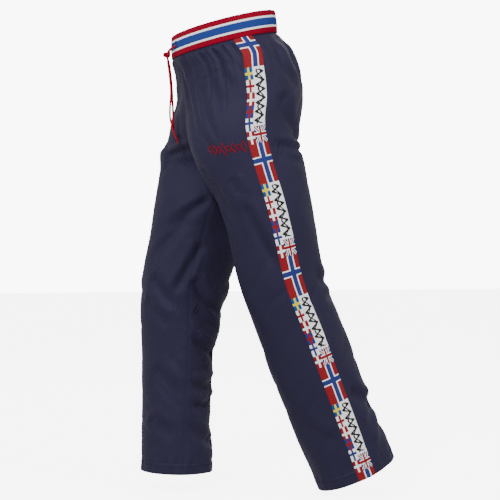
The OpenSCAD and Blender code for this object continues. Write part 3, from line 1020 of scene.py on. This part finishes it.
def make_waistband():
    steps = RIBS * 4
    profile = band_profile()
    angle = 2 * math.pi * np.arange(steps)[None, :] / steps
    wave = np.cos(RIBS * angle)
    drop = profile[:, :1] * np.ones((1, steps))
    off = profile[:, 1:2] + 0.00042 * profile[:, 2:] * np.sign(wave) * np.abs(wave) ** 0.7
    loops = band_point(drop, angle * np.ones_like(drop), off)
    band = closed_band(
        "waistband", loops, np.stack([angle * BAND_MEAN_R * np.ones_like(drop), drop], -1))
    dress(band, rib_look)
    return band


EXIT_ANGLE = math.radians(4.4)
EXIT_DROP = BAND_H / 2
HOLE_W, HOLE_H = 0.007, 0.013


def buttonhole_frame(side):
    """Centre of a buttonhole, and its directions across, up and out of the band."""
    angle = -math.pi / 2 + side * EXIT_ANGLE
    centre = band_point(EXIT_DROP, angle, 0.0009)
    up = band_point(EXIT_DROP - 0.004, angle, 0.0009) - centre
    up /= np.linalg.norm(up)
    across = band_point(EXIT_DROP, angle + 0.03, 0.0009) - centre
    across -= across.dot(up) * up
    across /= np.linalg.norm(across)
    return centre, across, up, np.cross(across, up)


def slot_outline(grow, count=48):
    """Points round a slot with half-round ends, as (across, up)."""
    r = HOLE_W / 2 + grow
    straight = (HOLE_H - HOLE_W) / 2
    points = []
    for k in range(count):
        t = 2 * math.pi * k / count
        points.append((r * math.cos(t), r * math.sin(t) + math.copysign(straight, math.sin(t))))
    return points


def cut_buttonholes(band):
    verts, faces = [], []
    for side in SIDES:
        centre, across, up, out = buttonhole_frame(side)
        base = len(verts)
        outline = slot_outline(0.0002, 32)
        for depth in (0.004, -0.0032):
            verts += [centre + p[0] * across + p[1] * up + depth * out for p in outline]
        n = len(outline)
        faces.append([base + j for j in range(n)])
        faces.append([base + n + j for j in range(n - 1, -1, -1)])
        faces += [[base + (j + 1) % n, base + j, base + n + j, base + n + (j + 1) % n]
                  for j in range(n)]
    cutter = new_mesh("buttonhole_cutter", verts, faces, smooth=False)
    cut = band.modifiers.new("buttonholes", "BOOLEAN")
    cut.operation = "DIFFERENCE"
    cut.solver = "EXACT"
    cut.object = cutter
    bpy.context.view_layer.objects.active = band
    bpy.ops.object.modifier_apply(modifier=cut.name)
    bpy.data.objects.remove(cutter)


def make_buttonholes():
    """Close-set stitches over each buttonhole's edge."""
    rims = []
    for side in SIDES:
        centre, across, up, out = buttonhole_frame(side)
        outline = np.array(slot_outline(0.0009, 176) + slot_outline(0.0009, 176)[:2])
        path = centre + outline[:-1, :1] * across + outline[:-1, 1:] * up + 0.0004 * out
        rims.append(tube("rim", path, 0.0011, 10,
                         lambda along, angle: 0.00022 * np.sin(2 * math.pi * along / 0.0009)))
    rim = join("buttonhole_stitches", rims)
    dress(rim, buttonhole_look)
    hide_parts("buttonhole_stitching")
    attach(rim, "waist_and_seat")


def make_elastic():
    steps = 360
    drop = np.linspace(0.004, BAND_H - 0.006, 30)[:, None] * np.ones((1, steps))
    angle = 2 * math.pi * np.arange(steps)[None, :] / steps * np.ones_like(drop)
    ribs = 0.00008 * np.sin(np.arange(30) * math.pi / 2)[:, None]
    outer = band_point(drop, angle, -0.0038 + ribs)
    inner = band_point(drop, angle, -0.0045 - ribs)
    uv = np.stack([angle * 0.13, drop], -1)
    elastic = shell("waist_elastic_webbing", outer, inner, uv, closed=True)
    dress(elastic, elastic_look)
    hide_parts("waist_elastic")
    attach(elastic, "waist_and_seat")


def make_hidden_cord():
    steps = 420
    start = -math.pi / 2 + EXIT_ANGLE + math.radians(3.4)
    sweep = 2 * math.pi - 2 * (EXIT_ANGLE + math.radians(3.4))
    angle = np.linspace(start, start + sweep, steps)[None, :] * np.ones((9, 1))
    drop = (EXIT_DROP + np.linspace(-0.003, 0.003, 9))[:, None] * np.ones((1, steps))
    crown = 0.0005 * np.cos(np.linspace(-1.3, 1.3, 9))[:, None]
    weave = 0.00006 * np.sin(np.arange(steps) * math.pi / 3)[None, :]
    outer = band_point(drop, angle, -0.0027 + crown + weave)
    inner = band_point(drop, angle, -0.0027 - crown - weave)
    cord = shell("drawcord_through_band", outer, inner, np.stack([angle * 0.13, drop], -1))
    dress(cord, cord_look)
    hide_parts("drawcord_in_waistband")
    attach(cord, "waist_and_seat")


# ---- Embroidery: a generic chain of diamonds ----


def make_embroidery():
    top, bottom, first, last = -0.259, -0.285, -20.5, -63.0
    parts = []

    def ribbon(points, width):
        """A raised satin-stitched line through (share along, share down) points."""
        line = smooth_path(np.c_[points, np.zeros(len(points))], 0.004)[:, :2]
        angle = first + (last - first) * line[:, 0]
        z = top + (bottom - top) * line[:, 1]
        path = surface(1, z, angle, 0.0004)
        parts.append(tube("thread", path, width / 2, 8,
                          lambda along, around: 0.00012 * np.sin(2 * math.pi * along / 0.0008)))

    count = 8
    for k in range(count):
        left, right = k / count, (k + 1) / count
        middle = (left + right) / 2
        tall = (0.46, 0.24, 0.36, 0.26)[k % 4]
        corners = [(left, 0.5), (middle, 0.5 - tall), (right, 0.5), (middle, 0.5 + tall)]
        for a, b in zip(corners, corners[1:] + corners[:1]):
            ribbon([a, ((a[0] + b[0]) / 2, (a[1] + b[1]) / 2), b], 0.0018)
    motif = join("thigh_stitched_motif", parts)
    dress(motif, embroidery_look)
    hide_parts("thigh_embroidery")
    blend_hip(motif, 1)


# ---- Floor and light ----


def make_floor():
    size = 14.0
    drop = -LEG_LENGTH - 0.004
    floor = new_mesh("floor", [(-size, -size, drop), (size, -size, drop), (size, size, drop),
                               (-size, size, drop)], [(0, 1, 2, 3)], smooth=False)
    m = Material("pale_floor", Roughness=0.9, Specular_IOR_Level=0.1)
    shade = m.noise(0.6, 1.0)
    m.colour(m.mix(shade, (0.86, 0.86, 0.87), (0.90, 0.90, 0.90)))
    m.shader.inputs["Emission Color"].default_value = (1, 1, 1, 1)
    m.shader.inputs["Emission Strength"].default_value = 6.0
    floor.visible_diffuse = False
    floor.visible_glossy = False
    floor.data.materials.append(m.made)


def make_backdrop():
    """A plain bright shell round the scene, which the camera sees and which lights nothing."""
    bpy.ops.mesh.primitive_uv_sphere_add(segments=48, ring_count=24, radius=24)
    shell_round = bpy.context.object
    shell_round.name = "backdrop"
    for unseen in ("visible_diffuse", "visible_glossy", "visible_transmission", "visible_shadow"):
        setattr(shell_round, unseen, False)
    m = Material("white_backdrop")
    glow = m.node("ShaderNodeEmission", Color=(1, 1, 1, 1), Strength=9.0)
    m.link(glow.outputs[0], m.tree.nodes["Material Output"].inputs["Surface"])
    shell_round.data.materials.append(m.made)


def make_light(name, place, target, size, power, colour=(1, 1, 1)):
    data = bpy.data.lights.new(name, "AREA")
    data.shape = "DISK"
    data.size = size
    data.energy = power
    data.color = colour
    light = bpy.data.objects.new(name, data)
    bpy.context.scene.collection.objects.link(light)
    light.location = place
    light.rotation_euler = (Vector(target) - Vector(place)).to_track_quat("-Z", "Y").to_euler()


def make_world():
    world = bpy.data.worlds.new("studio")
    bpy.context.scene.world = world
    world.use_nodes = True
    background = world.node_tree.nodes["Background"]
    background.inputs["Color"].default_value = (1.0, 0.98, 0.98, 1)
    background.inputs["Strength"].default_value = 0.68


make_world()
make_floor()
make_backdrop()
make_light("key", (2.5, -1.9, 1.6), (0, 0.05, -0.45), 0.6, 100)
make_light("fill", (2.7, 1.7, 0.9), (0, 0.1, -0.5), 1.0, 34)
make_light("far_leg", (-0.8, -2.8, 0.2), (0, 0.0, -0.6), 1.2, 5)
make_light("far_side", (-2.7, 0.9, 1.2), (0, 0.0, -0.5), 2.2, 26)

# ---- Building ----

waistband = make_waistband()
cut_buttonholes(waistband)
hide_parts("waistband_rib")
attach(waistband, "waist_and_seat")
make_buttonholes()
make_elastic()
make_hidden_cord()
for side in SIDES:
    for direction in PANELS:
        make_panel(side, direction)
    make_tape(side)
    make_hem(side)
    make_hem_stitches(side)
make_embroidery()
